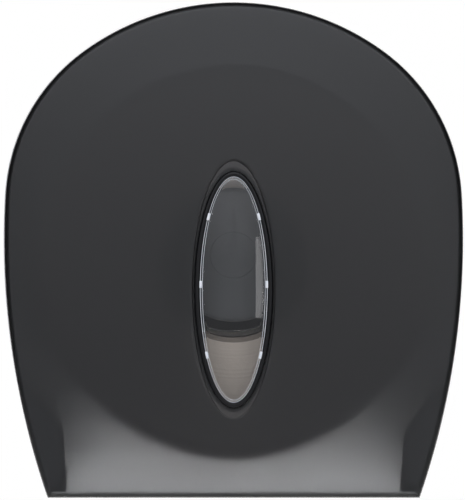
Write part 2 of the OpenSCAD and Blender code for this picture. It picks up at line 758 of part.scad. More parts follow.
base_plate();
left_cheek();
right_cheek();
cheek_screws();
left_tear_bar();
right_tear_bar();
left_hinge_pin();
right_hinge_pin();
hub_post();
post_screws();
hub_washer();
hub_screw();
lock_strike();
strike_screws();
hub();
hub_cap();
paper_roll();
roll_core();
front_cover();
left_hinge_lug();
right_hinge_lug();
window_bezel();
window_lens();
lock_barrel();
lock_nut();
lock_plug();
lock_cam();
cam_screw();
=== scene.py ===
from math import atan2, cos, hypot, pi, radians, sin, sqrt, tau

import bmesh
import bpy
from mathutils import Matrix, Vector


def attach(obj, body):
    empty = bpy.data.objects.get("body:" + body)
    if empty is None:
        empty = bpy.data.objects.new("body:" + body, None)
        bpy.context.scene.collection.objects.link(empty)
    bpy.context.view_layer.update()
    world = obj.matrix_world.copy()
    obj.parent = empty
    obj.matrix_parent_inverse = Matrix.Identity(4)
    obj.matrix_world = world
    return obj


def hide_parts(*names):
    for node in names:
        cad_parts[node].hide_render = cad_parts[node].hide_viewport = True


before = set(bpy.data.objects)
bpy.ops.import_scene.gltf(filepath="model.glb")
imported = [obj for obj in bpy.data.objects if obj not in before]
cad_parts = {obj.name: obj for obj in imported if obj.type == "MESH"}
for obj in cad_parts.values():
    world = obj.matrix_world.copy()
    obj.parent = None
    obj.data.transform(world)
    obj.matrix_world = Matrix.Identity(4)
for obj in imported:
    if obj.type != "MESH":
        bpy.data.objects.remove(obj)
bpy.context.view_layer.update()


# --- Camera ---
# The photograph is taken almost square on, through a long lens, from a trace to the left and above.
# It is 465 by 500 pixels, and one pixel is 0.575 mm at the front of the cover.

pixel = 0.0005752
photo_wide, photo_high = 465, 500
hub_column, hub_row = 233.7, 255
cover_face = -0.132
aim = Vector(((photo_wide / 2 - hub_column) * pixel, cover_face, (hub_row - photo_high / 2) * pixel))
camera_turn = radians(-0.35)
camera_rise = radians(0.2)
camera_away = 10.0

bpy.ops.object.select_all(action="DESELECT")
bpy.ops.object.camera_add()
camera = bpy.context.object
level_back = cos(camera_rise)
back = Vector((sin(camera_turn) * level_back, -cos(camera_turn) * level_back, sin(camera_rise)))
camera.location = aim + back * camera_away
camera.rotation_euler = (-back).to_track_quat("-Z", "Y").to_euler()
camera.data.lens = camera.data.sensor_width * camera_away / (photo_high * pixel)
camera.data.clip_end = 100
bpy.context.scene.camera = camera
bpy.context.scene.view_settings.view_transform = "Standard"


# --- Studio ---
# A white backdrop stands behind the dispenser and a pale floor lies under it, in a dim room. The
# wall behind the camera is bright above and to both sides, which is what the cover's gloss shows.
# Strip lights stand beside the camera, with softboxes above and below and one panel to the right.

def add(tree, kind, settings=(), **inputs):
    """Adds a node: settings are its own, and an input is a value or another node's output."""
    made = tree.nodes.new("ShaderNode" + kind)
    for name, value in dict(settings).items():
        setattr(made, name, value)
    for name, value in inputs.items():
        socket = made.inputs[int(name[1:]) if name[1:].isdigit() else name.replace("_", " ")]
        if isinstance(value, bpy.types.NodeSocket):
            tree.links.new(value, socket)
        else:
            socket.default_value = value
    return made.outputs[0] if made.outputs else None


def linear(code):
    """An sRGB hex colour as the linear colour that a shader takes."""
    parts = [int(code[i:i + 2], 16) / 255 for i in (0, 2, 4)]
    return [*(p / 12.92 if p <= 0.04045 else ((p + 0.055) / 1.055) ** 2.4 for p in parts), 1]


world = bpy.data.worlds.new("Cyclorama")
world.use_nodes = True
bpy.context.scene.world = world
sky = world.node_tree
sky.nodes.clear()
add(sky, "LightPath")
ray = sky.nodes[-1].outputs
add(sky, "TexCoord")
add(sky, "SeparateXYZ", Vector=sky.nodes[-1].outputs["Generated"])
axes = sky.nodes[-1].outputs

# the backdrop, and the room, which lights the dispenser more than it shows in its gloss
behind = add(sky, "MapRange", Value=axes["Y"], From_Min=0.6, From_Max=0.92, To_Min=0, To_Max=1)
room = add(sky, "MapRange", Value=ray["Is Diffuse Ray"], To_Min=0.1, To_Max=0.35)
backdrop = add(sky, "MapRange", Value=behind, To_Min=room, To_Max=1.2)

# the wall behind the camera: dark where the camera stands, bright above it and to both sides
near_camera = add(sky, "MapRange", Value=axes["Y"], From_Min=-0.76, From_Max=-0.84, To_Min=0, To_Max=1)
above = add(sky, "MapRange", Value=axes["Z"], From_Min=0.02, From_Max=0.22, To_Min=0.35, To_Max=1.42)
across = add(sky, "Math", {"operation": "ABSOLUTE"}, _0=axes["X"])
beside = add(sky, "MapRange", Value=across, From_Min=0.38, From_Max=0.46, To_Min=0, To_Max=0.88)
not_low = add(sky, "MapRange", Value=axes["Z"], From_Min=-0.15, From_Max=0.1, To_Min=0, To_Max=1)
beside = add(sky, "Math", {"operation": "MULTIPLY"}, _0=beside, _1=not_low)
wall_level = add(sky, "Math", {"operation": "MAXIMUM"}, _0=above, _1=beside)
wall_light = add(sky, "Math", {"operation": "MULTIPLY"}, _0=near_camera, _1=wall_level)

# the camera sees plain white, and so do gloss and clear plastic where they show the backdrop
level = add(sky, "Math", {"operation": "ADD"}, _0=backdrop, _1=wall_light)
soft = add(sky, "Background", Color=linear("EEF1F8"), Strength=level)
white = add(sky, "Background", Color=linear("FFFFFF"), Strength=1.0)
mirrored = add(
    sky, "Math", {"operation": "MAXIMUM"}, _0=ray["Is Glossy Ray"], _1=ray["Is Transmission Ray"])
mirrored = add(sky, "Math", {"operation": "MULTIPLY"}, _0=mirrored, _1=behind)
seen = add(sky, "Math", {"operation": "MAXIMUM"}, _0=ray["Is Camera Ray"], _1=mirrored)
add(sky, "OutputWorld", Surface=add(sky, "MixShader", Fac=seen, _1=soft, _2=white))


def softbox(name, place, towards, width, height, watts, colour):
    """A flat lamp of a width and height in metres, turned towards a point."""
    bpy.ops.object.select_all(action="DESELECT")
    bpy.ops.object.light_add(type="AREA", location=place)
    lamp = bpy.context.object
    lamp.name = name
    lamp.data.shape = "RECTANGLE"
    lamp.data.size, lamp.data.size_y = width, height
    lamp.data.energy = watts
    lamp.data.color = linear(colour)[:3]
    lamp.visible_camera = False
    lamp.rotation_euler = (Vector(towards) - Vector(place)).to_track_quat("-Z", "Y").to_euler()
    return lamp


softbox("Left_strip", (-0.8, -1.4, 0.5), (0, -0.1, 0), 0.03, 1.3, 1.2, "F6F6F8")
softbox("Right_strip", (0.8, -1.4, 0.5), (0, -0.1, 0), 0.03, 1.3, 1.2, "F6F6F8")
softbox("Top_softbox", (0, -0.7, 0.5), (0, -0.12, 0), 0.7, 0.6, 1.6, "EEF1F8")
softbox("Side_panel", (0.62, -2.0, -0.02), (0, -0.13, -0.02), 0.25, 0.28, 0.42, "F6F6F8")
softbox("Floor_bounce", (0, -0.3, -0.44), (0, -0.12, -0.14), 0.8, 0.3, 0.4, "FCFCFA")
under = softbox("Under_softbox", (0, -0.08, -0.21), (0, 0, -0.16), 0.3, 0.04, 0.57, "FBFBF5")
under.data.spread = radians(50)

bpy.ops.object.select_all(action="DESELECT")
bpy.ops.mesh.primitive_plane_add(size=4, location=(0, 0, -0.45))
floor = bpy.context.object
floor.name = "Floor"

# matt white paint, which stays pale from every side: gloss and clear plastic see it white near the
# wall, and the camera sees it part white and part lit, so that it keeps the dispenser's shadow
floor_paint = bpy.data.materials.new("Floor_paint_matt")
floor_paint.use_nodes = True
tree = floor_paint.node_tree
tree.nodes.clear()
add(tree, "LightPath")
ray = tree.nodes[-1].outputs
mirrored = add(
    tree, "Math", {"operation": "MAXIMUM"}, _0=ray["Is Glossy Ray"], _1=ray["Is Transmission Ray"])
add(tree, "TexCoord")
add(tree, "SeparateXYZ", Vector=tree.nodes[-1].outputs["Object"])
depth = tree.nodes[-1].outputs["Y"]
close_by = add(tree, "MapRange", Value=depth, From_Min=-0.6, From_Max=-0.3, To_Min=0, To_Max=1)
mirrored = add(tree, "Math", {"operation": "MULTIPLY"}, _0=mirrored, _1=close_by)
paint = add(tree, "BsdfPrincipled", Base_Color=linear("F4F4F4"), Roughness=0.9)
lit = add(tree, "Emission", Color=linear("FFFFFF"), Strength=1.0)
seen = add(tree, "MapRange", Value=ray["Is Camera Ray"], To_Min=0, To_Max=0.6)
seen = add(tree, "Math", {"operation": "MAXIMUM"}, _0=seen, _1=mirrored)
add(tree, "OutputMaterial", Surface=add(tree, "MixShader", Fac=seen, _1=paint, _2=lit))
floor.data.materials.append(floor_paint)


# --- Base plate ---
# The pale grey back moulding that is screwed to the wall: a plate with a rim that the cover
# closes over, ribs, screw pads and the ears of the hinge, with the hub's post screwed to it. Its
# edge shows as a thin pale line.

def new_material(name):
    material = bpy.data.materials.new(name)
    material.use_nodes = True
    material.node_tree.nodes.clear()
    return material, material.node_tree


def finish_material(tree, surface):
    add(tree, "OutputMaterial", Surface=surface)


def cad_copy(node, name):
    """Copies a CAD node and opens the copy in edit mode, with its loose triangles merged."""
    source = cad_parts[node]
    bpy.ops.object.select_all(action="DESELECT")
    piece = source.copy()
    piece.data = source.data.copy()
    piece.parent = None
    for key in list(piece.keys()):
        del piece[key]
    piece.name = name
    bpy.context.scene.collection.objects.link(piece)
    piece.select_set(True)
    bpy.context.view_layer.objects.active = piece
    bpy.ops.object.mode_set(mode="EDIT")
    bpy.ops.mesh.select_all(action="SELECT")
    bpy.ops.mesh.remove_doubles(threshold=0.000004)
    return piece


def softened(node, name, body, material, edge, nose=0):
    """Copies a CAD node, takes the sharpness off its edges, and lets the copy stand for it.
    With a nose, its foremost edges are first rounded to that radius."""
    piece = cad_copy(node, name)
    bpy.ops.mesh.dissolve_limited(angle_limit=radians(0.5))
    if nose:
        round_nose(piece, nose)
    bpy.ops.object.mode_set(mode="OBJECT")
    bevel = piece.modifiers.new("Edge", "BEVEL")
    bevel.width = edge
    bevel.segments = 2
    bevel.limit_method = "ANGLE"
    bevel.angle_limit = radians(40)
    bevel.miter_outer = "MITER_ARC"
    bpy.ops.object.modifier_apply(modifier=bevel.name)
    dress(piece, body, material)
    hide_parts(node)


def round_nose(piece, radius):
    """Rounds the edges that lie furthest out of the wall, in edit mode."""
    bpy.ops.mesh.select_mode(type="EDGE")
    bpy.ops.mesh.select_all(action="DESELECT")
    mesh = bmesh.from_edit_mesh(piece.data)
    foremost = min(v.co.y for v in mesh.verts) + 0.00001
    for edge in mesh.edges:
        edge.select_set(all(v.co.y < foremost for v in edge.verts))
    bmesh.update_edit_mesh(piece.data)
    bpy.ops.mesh.bevel(offset=radius, segments=4)


def dress(piece, body, material):
    """Gives a finished piece its shading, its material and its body."""
    bpy.ops.object.select_all(action="DESELECT")
    piece.select_set(True)
    bpy.context.view_layer.objects.active = piece
    bpy.ops.object.shade_smooth_by_angle(angle=radians(32))
    piece.data.materials.clear()
    piece.data.materials.append(material)
    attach(piece, body)


def moulded(name, colour, rough, grain_mm, grain_depth_mm):
    """Plastic moulded in a spark-eroded tool: an even colour, faintly clouded, under a fine matt
    grain that breaks the shine up. The real grain is about 0.1 mm and is drawn coarser, to show."""
    cloud_mm = 45
    material, tree = new_material(name)
    add(tree, "TexCoord")
    place = tree.nodes[-1].outputs["Object"]
    cloud = add(tree, "TexNoise", Vector=place, Scale=1000 / cloud_mm, Detail=3.0)
    grain = add(tree, "TexNoise", Vector=place, Scale=1000 / grain_mm, Detail=2.0)
    shade = add(tree, "ValToRGB", Fac=cloud)
    ramp = tree.nodes[-1].color_ramp
    base = linear(colour)
    ramp.elements[0].position, ramp.elements[1].position = 0.3, 0.7
    ramp.elements[0].color = [c * 0.94 for c in base[:3]] + [1]
    ramp.elements[1].color = [min(1, c * 1.05) for c in base[:3]] + [1]
    polish = add(
        tree, "MapRange", Value=cloud, From_Min=0.3, From_Max=0.7,
        To_Min=rough - 0.05, To_Max=rough + 0.05)
    bump = add(tree, "Bump", Height=grain, Strength=0.35, Distance=grain_depth_mm / 1000)
    surface = add(tree, "BsdfPrincipled", Base_Color=shade, Roughness=polish, Normal=bump, IOR=1.5)
    finish_material(tree, surface)
    return material


# soft and pale, with no highlight of its own: a quiet ground for the dark cover
pale_abs = moulded("Pale_grey_ABS_moulded", "DCDDDF", 0.5, 0.7, 0.03)
softened("base_plate", "Base_plate", "base", pale_abs, 0.0004)
softened("hub_post", "Hub_post", "base", pale_abs, 0.0003)


# --- Cheeks ---
# Charcoal polypropylene boxes in the two lower corners, screwed to the base. They flank the paper
# outlet and carry the tear bars, and their slanting front edges show through the cover. The hinge
# lugs, fixed in the cover's lower corners, are of the same plastic.

# near black with a dull shine, and a paler sheet of painted light that lifts the corners a little behind
# the smoke: it shows their sunk faces lit against their shaded edges
charcoal_pp = moulded("Charcoal_polypropylene_moulded", "2C2C30", 0.45, 0.6, 0.03)
painted_light_sheet = moulded("Sheet_painted_light", "C4C6C9", 0.5, 0.4, 0.02)
sunk_face = -0.1271
sheet_thick = 0.0006


def cheek_painted_light_panel(side):
    """A pale sheet of painted light laid in the cheek's sunk face, lit against its shaded edge: its
    faces are taken, drawn in and pulled out.
    """
    panel = cad_copy(side + "_cheek", side.title() + "_cheek_painted_light_panel")
    bpy.ops.mesh.select_mode(type="FACE")
    bpy.ops.mesh.select_all(action="DESELECT")
    mesh = bmesh.from_edit_mesh(panel.data)
    for face in mesh.faces:
        sunk = abs(face.calc_center_median().y - sunk_face) < 0.0002 and face.normal.y < -0.98
        face.select_set(not sunk)
    bmesh.update_edit_mesh(panel.data)
    bpy.ops.mesh.delete(type="FACE")
    bpy.ops.mesh.select_all(action="SELECT")
    bpy.ops.mesh.dissolve_limited(angle_limit=radians(0.5))
    bpy.ops.mesh.inset(thickness=0.0003)
    bpy.ops.mesh.select_all(action="INVERT")
    bpy.ops.mesh.delete(type="FACE")
    bpy.ops.mesh.select_all(action="SELECT")
    bpy.ops.mesh.extrude_region_move(TRANSFORM_OT_translate={"value": (0, -sheet_thick, 0)})
    bpy.ops.mesh.select_all(action="SELECT")
    bpy.ops.mesh.normals_make_consistent(inside=False)
    bpy.ops.object.mode_set(mode="OBJECT")
    bevel = panel.modifiers.new("Edge", "BEVEL")
    bevel.width = 0.0002
    bevel.segments = 2
    bevel.limit_method = "ANGLE"
    bpy.ops.object.modifier_apply(modifier=bevel.name)
    dress(panel, "base", painted_light_sheet)


# pale sheets of painted light on the cheeks' sunk faces
cheek_painted_light_panel("left")
cheek_painted_light_panel("right")
softened("left_cheek", "Left_cheek", "base", charcoal_pp, 0.0002, 0.0011)
softened("right_cheek", "Right_cheek", "base", charcoal_pp, 0.0002, 0.0011)
softened("left_hinge_lug", "Left_hinge_lug", "cover", charcoal_pp, 0.0003)
softened("right_hinge_lug", "Right_hinge_lug", "cover", charcoal_pp, 0.0003)


# --- Steel parts ---
# Tear bars, hinge pins, strike, cam, screws and the lock. The bars are cut from brushed strip, the
# rest is turned or pressed and then plated with zinc, and the lock's parts with nickel.

def plated(name, colour, rough, along):
    """Plated or brushed metal: a soft shine, broken by fine lines that run where along is small.
    Real lines are under 0.1 mm and are drawn 0.6 mm wide, to show."""
    line_mm, cloud_mm = 0.6, 20
    material, tree = new_material(name)
    add(tree, "TexCoord")
    place = add(tree, "Mapping", Vector=tree.nodes[-1].outputs["Object"], Scale=along)
    brush = add(tree, "TexNoise", Vector=place, Scale=1000 / line_mm, Detail=2.0)
    cloud = add(tree, "TexNoise", Vector=place, Scale=1000 / cloud_mm, Detail=3.0)
    polish = add(
        tree, "MapRange", Value=brush, From_Min=0.3, From_Max=0.7,
        To_Min=rough - 0.08, To_Max=rough + 0.08)
    shade = add(tree, "ValToRGB", Fac=cloud)
    ramp = tree.nodes[-1].color_ramp
    base = linear(colour)
    ramp.elements[0].position, ramp.elements[1].position = 0.35, 0.65
    ramp.elements[0].color = [c * 0.9 for c in base[:3]] + [1]
    ramp.elements[1].color = base
    bump = add(tree, "Bump", Height=brush, Strength=0.2, Distance=0.00002)
    surface = add(tree, "BsdfPrincipled", Base_Color=shade, Metallic=1.0, Roughness=polish, Normal=bump)
    finish_material(tree, surface)
    return material


# the zinc looks bluish and dull, the strip silvery with lines along it, the nickel warm and bright
zinc = plated("Zinc_plated_steel", "B9BBBF", 0.32, (1, 1, 1))
tear_steel = plated("Stainless_strip_brushed", "C6C7C9", 0.28, (1, 0.08, 1))
nickel = plated("Nickel_plated_zinc", "C9C7C2", 0.2, (1, 1, 1))
for side in ("left", "right"):
    softened(side + "_tear_bar", side.title() + "_tear_bar", "base", tear_steel, 0.0001)
    softened(side + "_hinge_pin", side.title() + "_hinge_pin", "base", zinc, 0.0003)
for node in ("cheek_screws", "post_screws", "strike_screws", "hub_screw", "hub_washer"):
    softened(node, node.capitalize(), "base", zinc, 0.0001)
softened("lock_strike", "Lock_strike", "base", zinc, 0.0003)
softened("lock_barrel", "Lock_barrel", "cover", nickel, 0.0002)
softened("lock_nut", "Lock_nut", "cover", nickel, 0.0002)
softened("lock_plug", "Lock_plug", "lock", nickel, 0.0002)
softened("lock_cam", "Lock_cam", "lock", zinc, 0.0002)
softened("cam_screw", "Cam_screw", "lock", zinc, 0.0001)


# --- Hub ---
# The dark grey moulded hub that the core hangs on, with a wide flange in front and a snapped-in
# cap over its screw. Both are made here as a turner would, from one profile each.

def from_wall(across, up, out):
    """A point given in millimetres across, up and out of the wall, in the part's frame."""
    return Vector((across, -out, up)) / 1000


def lofted(name, rings, centre, closed):
    """Extrudes a circle from ring to ring. A ring is a list of points round the centre. The last
    ring of a closed piece is joined to its first, and an open one is capped at both ends."""
    bpy.ops.object.select_all(action="DESELECT")
    bpy.ops.mesh.primitive_circle_add(vertices=len(rings[0]), radius=0.1, rotation=(pi / 2, 0, 0))
    piece = bpy.context.object
    piece.name = name
    bpy.ops.object.transform_apply()
    bpy.ops.object.mode_set(mode="EDIT")
    bpy.ops.mesh.select_mode(type="VERT")
    bpy.ops.mesh.select_all(action="SELECT")
    middle = Vector((0, 0, 0))
    for number, ring in enumerate(rings + rings[:1] if closed else rings):
        if number:
            bpy.ops.mesh.extrude_edges_move()
        mesh = bmesh.from_edit_mesh(piece.data)
        loop = [v for v in mesh.verts if v.select]
        loop.sort(key=lambda v: round_angle(v.co - middle))
        for vertex, point in zip(loop, ring):
            vertex.co = point
        bmesh.update_edit_mesh(piece.data)
        middle = centre
    bpy.ops.mesh.select_all(action="SELECT")
    bpy.ops.mesh.remove_doubles(threshold=0.000001)
    bpy.ops.mesh.select_all(action="DESELECT")
    if not closed:
        bpy.ops.mesh.select_non_manifold()
        bpy.ops.mesh.edge_face_add()
    bpy.ops.mesh.select_all(action="SELECT")
    bpy.ops.mesh.normals_make_consistent(inside=False)
    bpy.ops.object.mode_set(mode="OBJECT")
    return piece


def round_angle(offset):
    """Turn of a point round the Y axis, anticlockwise as seen from the front, from straight down."""
    return (atan2(offset.z, offset.x) + pi / 2 + 1e-7) % tau


def turned(name, profile, up=0, steps=144):
    """A ring-by-ring loft of a profile of (radius, distance out of the wall) in millimetres."""
    turns = [tau * i / steps - pi / 2 for i in range(steps)]
    rings = [[from_wall(r * cos(t), up + r * sin(t), out) for t in turns] for r, out in profile]
    return lofted(name, rings, from_wall(0, up, 0), True)


# satin enough to catch the window's light evenly, and lighter than the gap round the flange
grey_abs = moulded("Dark_grey_ABS_moulded", "505356", 0.42, 0.5, 0.02)
hub_back = 20
hub = turned("Hub", [
    (8.05, hub_back), (10.7, hub_back), (11, hub_back + 0.3), (11, 107.5), (15.65, 107.5),
    (15.65, 114.4), (31.5, 114.4), (31.5, hub_back + 0.3), (31.8, hub_back),
    (44.4, hub_back), (45, hub_back + 0.6), (45, 22.4), (44.4, 23), (34.3, 23), (34, 23.3),
    (34, 114.1), (34.3, 114.4), (38.2, 114.4), (38.6, 114.8), (38.5, 115.5), (38.2, 116.2),
    (37.6, 116.8), (36.8, 117.2), (35.8, 117.4), (30, 117.4), (23, 117.3), (17, 117.35),
    (13.5, 117.4), (13.35, 117.25), (13.35, 112.5), (12, 112.5), (12, 110), (8.05, 110),
])
dress(hub, "hub", grey_abs)
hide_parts("hub")
hub_cap = turned("Hub_cap", [
    (0.01, 115.4), (11.7, 115.4), (11.7, 112.5), (13.25, 112.5),
    (13.25, 117.15), (13.1, 117.3), (0.01, 117.3),
])
dress(hub_cap, "hub", grey_abs)
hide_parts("hub_cap")


# --- Roll ---
# A full jumbo roll of white tissue on a brown board core. The core hangs on the hub's drum, so
# the roll sits a little below the hub's axis.

roll_down = 6.7
roll_back = 23.7
roll_front = roll_back + 90

# warm white with no shine at all. The sheets' edges are 0.1 mm apart and are drawn as rings about
# 1.1 mm apart, to show, with the fuzz of torn fibre over them
ring_mm, fuzz_mm = 1.1, 1.5
tissue, tree = new_material("Tissue_paper_wound")
add(tree, "TexCoord")
place = add(tree, "Mapping", Vector=tree.nodes[-1].outputs["Object"], Location=(0, 0, roll_down / 1000))
flat = add(tree, "VectorMath", {"operation": "MULTIPLY"}, _0=place, _1=(1, 0, 1))
add(tree, "VectorMath", {"operation": "LENGTH"}, _0=flat)
radius = tree.nodes[-1].outputs["Value"]
wound = add(tree, "CombineXYZ", X=radius)
layers = add(tree, "TexNoise", Vector=wound, Scale=1000 / ring_mm, Detail=4.0, Roughness=0.7)
fuzz = add(tree, "TexNoise", Vector=place, Scale=1000 / fuzz_mm, Detail=4.0)
shade = add(tree, "ValToRGB", Fac=layers)
ramp = tree.nodes[-1].color_ramp
ramp.elements[0].position, ramp.elements[1].position = 0.3, 0.7
ramp.elements[0].color, ramp.elements[1].color = linear("DDD1C4"), linear("F4EADF")
relief = add(tree, "Math", {"operation": "ADD"}, _0=layers, _1=fuzz)
bump = add(tree, "Bump", Height=relief, Strength=0.6, Distance=0.0002)
finish_material(tree, add(
    tree, "BsdfPrincipled", Base_Color=shade, Roughness=0.95, Normal=bump, Sheen_Weight=0.3))

roll = turned("Paper_roll", [
    (43.8, roll_back), (111.8, roll_back), (112.3, roll_back + 0.2), (112.5, roll_back + 0.7),
    (112.5, roll_front - 0.7), (112.3, roll_front - 0.2), (111.8, roll_front), (43.8, roll_front),
], -roll_down, 192)
dress(roll, "roll", tissue)
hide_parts("paper_roll")

# grey-brown and dry, a shade darker than the paper round it
board = moulded("Brown_board_wound", "948A80", 0.85, 0.9, 0.08)
core = turned("Roll_core", [
    (41, roll_back + 0.2), (41.2, roll_back), (43.8, roll_back), (43.8, roll_front), (41.2, roll_front),
    (41, roll_front - 0.2),
], -roll_down, 192)
dress(core, "roll", board)
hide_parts("roll_core")


# --- Cover ---
# The smoke-tinted polycarbonate shell, moulded in one: three tangent arcs a side and a straight
# bottom, a domed front with a round panel raised in it, and an oval window hole with a sunk band
# and a collar. It turns on the pins in its lower corners. All sizes are in millimetres.

# the outline: its width, its heights from the hub's axis, the radii of its arcs, its widest level
front_w = 264.2
top_h = 145.4
bottom_h = 139.7
top_r = 146.6
shoulder_r = 109.6
side_r = 454
widest_up = 9

# the section: the front falls by the crown from its middle to its edge, and by the panel's drop
# over the round panel, and the sides widen by the flare towards the wall
total_depth = 137
crown = 5
panel_r = 109.6
panel_drop = 2.4
wall = 2.2
edge_r = 4
flare = 0.5
edge_out = total_depth - crown
wall_front = edge_out - edge_r

# the back edge: it ends short of the base's plate, in a lip at the bottom and in a heel round
# each hinge pin
plate_front = 3
wall_back = 3.4
lip_depth = 5
hinge_out = 18
hinge_up = 10.7 - bottom_h
swing_r = hinge_out - wall_back

# the window: its hole, the sunk band round it and the collar behind it
window_down = 19.9
hole_w = 45.2
hole_h = 136.2
recess_w = hole_w + 2.8
recess_h = hole_h + 12.2
recess_depth = 1.2
collar_out = total_depth - 9
collar_wall = 2.2

# where the three arcs of the outline have their centres and meet
top_c = Vector((0, top_h - top_r))
side_c = Vector((front_w / 2 - side_r, widest_up))
arc_line = (top_c - side_c).normalized()
arc_span = (top_c - side_c).length
arc_along = ((side_r - shoulder_r) ** 2 - (top_r - shoulder_r) ** 2 + arc_span ** 2) / (2 * arc_span)
arc_rise = sqrt((side_r - shoulder_r) ** 2 - arc_along ** 2)
shoulder_c = side_c + arc_along * arc_line + arc_rise * Vector((-arc_line.y, arc_line.x))
top_turn = (shoulder_c - top_c).normalized()
side_turn = (shoulder_c - side_c).normalized()


def reach(angle, inset, grow=0):
    """Distance from the hub's axis to the outline, moved in by inset and out by grow."""
    d = Vector((abs(cos(angle)), sin(angle)))
    cut = inset - grow
    turn = atan2(d.y, d.x)
    top_end = top_c + (top_r - cut) * top_turn
    side_end = side_c + (side_r - cut) * side_turn
    if turn > atan2(top_end.y, top_end.x):
        centre, radius = top_c, top_r - cut
    elif turn > atan2(side_end.y, side_end.x):
        centre, radius = shoulder_c, shoulder_r - cut
    else:
        centre, radius = side_c, side_r - cut
    m = centre.dot(d)
    to_arc = m + sqrt(m * m - centre.dot(centre) + radius * radius)
    return min(to_arc, (inset - bottom_h) / d.y) if d.y < 0 else to_arc


def corner_angle(inset, grow):
    """Polar angle of the lower right corner of the outline."""
    up = inset - bottom_h
    return atan2(up, side_c.x + sqrt((side_r - inset + grow) ** 2 - (up - side_c.y) ** 2))


round_steps = 220
half_bottom = 24
lip_turn = radians(0.25)


def ring_turn(k, inset=0, grow=0):
    """Polar angle of the ring's point k, counted from the middle of the bottom to the right and up."""
    c = corner_angle(inset, grow)
    if k < half_bottom:
        return -pi / 2 + k * (c - lip_turn + pi / 2) / (half_bottom - 1)
    if k <= half_bottom + round_steps:
        return c + (k - half_bottom) * (pi - 2 * c) / round_steps
    left = k - half_bottom - round_steps - 1
    return pi - c + lip_turn + left * (c - lip_turn + pi / 2) / (half_bottom - 1)


ring_size = round_steps + 2 * half_bottom


def outline_point(k, inset, grow=0):
    """Where the ring's point k lies, across and up from the hub's axis."""
    a = ring_turn(k, inset, grow)
    return reach(a, inset, grow) * cos(a), reach(a, inset, grow) * sin(a)


def wall_end(k):
    """How far out the wall starts: at the lip, on the heel's arc below the hinge, or at the base."""
    up = outline_point(k, 0)[1]
    if k < half_bottom or k > half_bottom + round_steps:
        return edge_out - lip_depth
    if up < hinge_up:
        return hinge_out - sqrt(max(0, swing_r ** 2 - (up - hinge_up) ** 2))
    return wall_back


def side_ring(inset, depth, rise=0):
    """A ring of the side wall, from 0 at its back edge to 1 where the front's rounding starts."""
    ring = []
    for k in range(ring_size):
        start = wall_end(k)
        out = start + (wall_front - start) * depth + rise
        grow = flare * (wall_front - out) / (wall_front - plate_front)
        across, up = outline_point(k, inset, grow)
        ring.append(from_wall(across, up, out))
    return ring


def edge_ring(inset, out):
    """A level ring of the rounding between the side wall and the front."""
    return [from_wall(*outline_point(k, inset), out) for k in range(ring_size)]


def front_out(across, up):
    """How far the cover's outer face lies from the wall at a point of the front."""
    r = hypot(across, up)
    if r < panel_r + 0.01:
        return total_depth - panel_drop * (r / panel_r) ** 2
    edge = reach(atan2(up, across), edge_r)
    return total_depth - panel_drop - (crown - panel_drop) * (r - panel_r) / (edge - panel_r)


def on_front(points, lift):
    """Lays points on the front face, or a lift above it."""
    return [from_wall(x, z, front_out(x, z) + lift) for x, z in points]


def round_points(r):
    return [(r * cos(ring_turn(k)), r * sin(ring_turn(k))) for k in range(ring_size)]


def oval_points(w, h, turns):
    """An oval round the window's middle."""
    return [(w / 2 * cos(t), h / 2 * sin(t) - window_down) for t in turns]


ring_turns = [ring_turn(k) for k in range(ring_size)]


def blend_points(a, b, t):
    return [(p[0] * (1 - t) + q[0] * t, p[1] * (1 - t) + q[1] * t) for p, q in zip(a, b)]


def panel_ring(t, lift):
    """A ring of the front between the raised panel's edge, at 0, and the sunk band, at 1."""
    band = oval_points(recess_w, recess_h, ring_turns)
    return on_front(blend_points(round_points(panel_r), band, t), lift)


def slope_ring(t, lift):
    """A ring of the front between its rounding, at 0, and the raised panel's edge, at 1."""
    edge = [outline_point(k, edge_r) for k in range(ring_size)]
    return on_front(blend_points(edge, round_points(panel_r), t), lift)


def window_ring(w, h, lift):
    return on_front(oval_points(w, h, ring_turns), lift)


def straight_ring(w, h, out):
    return [from_wall(x, z, out) for x, z in oval_points(w, h, ring_turns)]


side_steps = 8
edge_steps = 8
outer_skin = [side_ring(0.5, 0), side_ring(0.12, 0, 0.15), side_ring(0, 0, 0.5)]
outer_skin += [side_ring(0, i / side_steps) for i in range(1, side_steps)]
outer_skin += [
    edge_ring(edge_r * (1 - cos(t)), wall_front + edge_r * sin(t))
    for t in (pi / 2 * i / edge_steps for i in range(edge_steps + 1))
]
outer_skin += [slope_ring(t, 0) for t in (0.3, 0.6, 0.9, 0.97)]
outer_skin += [panel_ring(t, 0) for t in (0.01, 0.05, 0.15, 0.3, 0.45, 0.6, 0.75, 0.88, 0.97)]
outer_skin += [
    window_ring(recess_w + 0.3, recess_h + 0.3, 0),
    window_ring(recess_w, recess_h, -0.08),
    window_ring(recess_w - 0.6, recess_h - 0.6, -recess_depth + 0.15),
    window_ring(recess_w - 1.0, recess_h - 1.0, -recess_depth),
    window_ring(hole_w + 1.2, hole_h + 1.2, -recess_depth),
    window_ring(hole_w + 0.95, hole_h + 0.95, -recess_depth + 0.22),
    window_ring(hole_w + 0.5, hole_h + 0.5, -recess_depth + 0.3),
    window_ring(hole_w + 0.1, hole_h + 0.1, -recess_depth + 0.15),
    window_ring(hole_w, hole_h, -recess_depth - 0.3),
]
inner_skin = [
    straight_ring(hole_w, hole_h, collar_out + 0.3),
    straight_ring(hole_w + 0.6, hole_h + 0.6, collar_out),
    straight_ring(hole_w + 2 * collar_wall - 0.6, hole_h + 2 * collar_wall - 0.6, collar_out),
    straight_ring(hole_w + 2 * collar_wall, hole_h + 2 * collar_wall, collar_out + 0.3),
    window_ring(hole_w + 2 * collar_wall, hole_h + 2 * collar_wall, -wall),
]
inner_skin += [panel_ring(t, -wall) for t in (0.88, 0.75, 0.6, 0.45, 0.3, 0.15, 0.05)]
inner_skin += [slope_ring(t, -wall) for t in (0.97, 0.6, 0.3)]
inner_r = edge_r - wall
inner_steps = 4
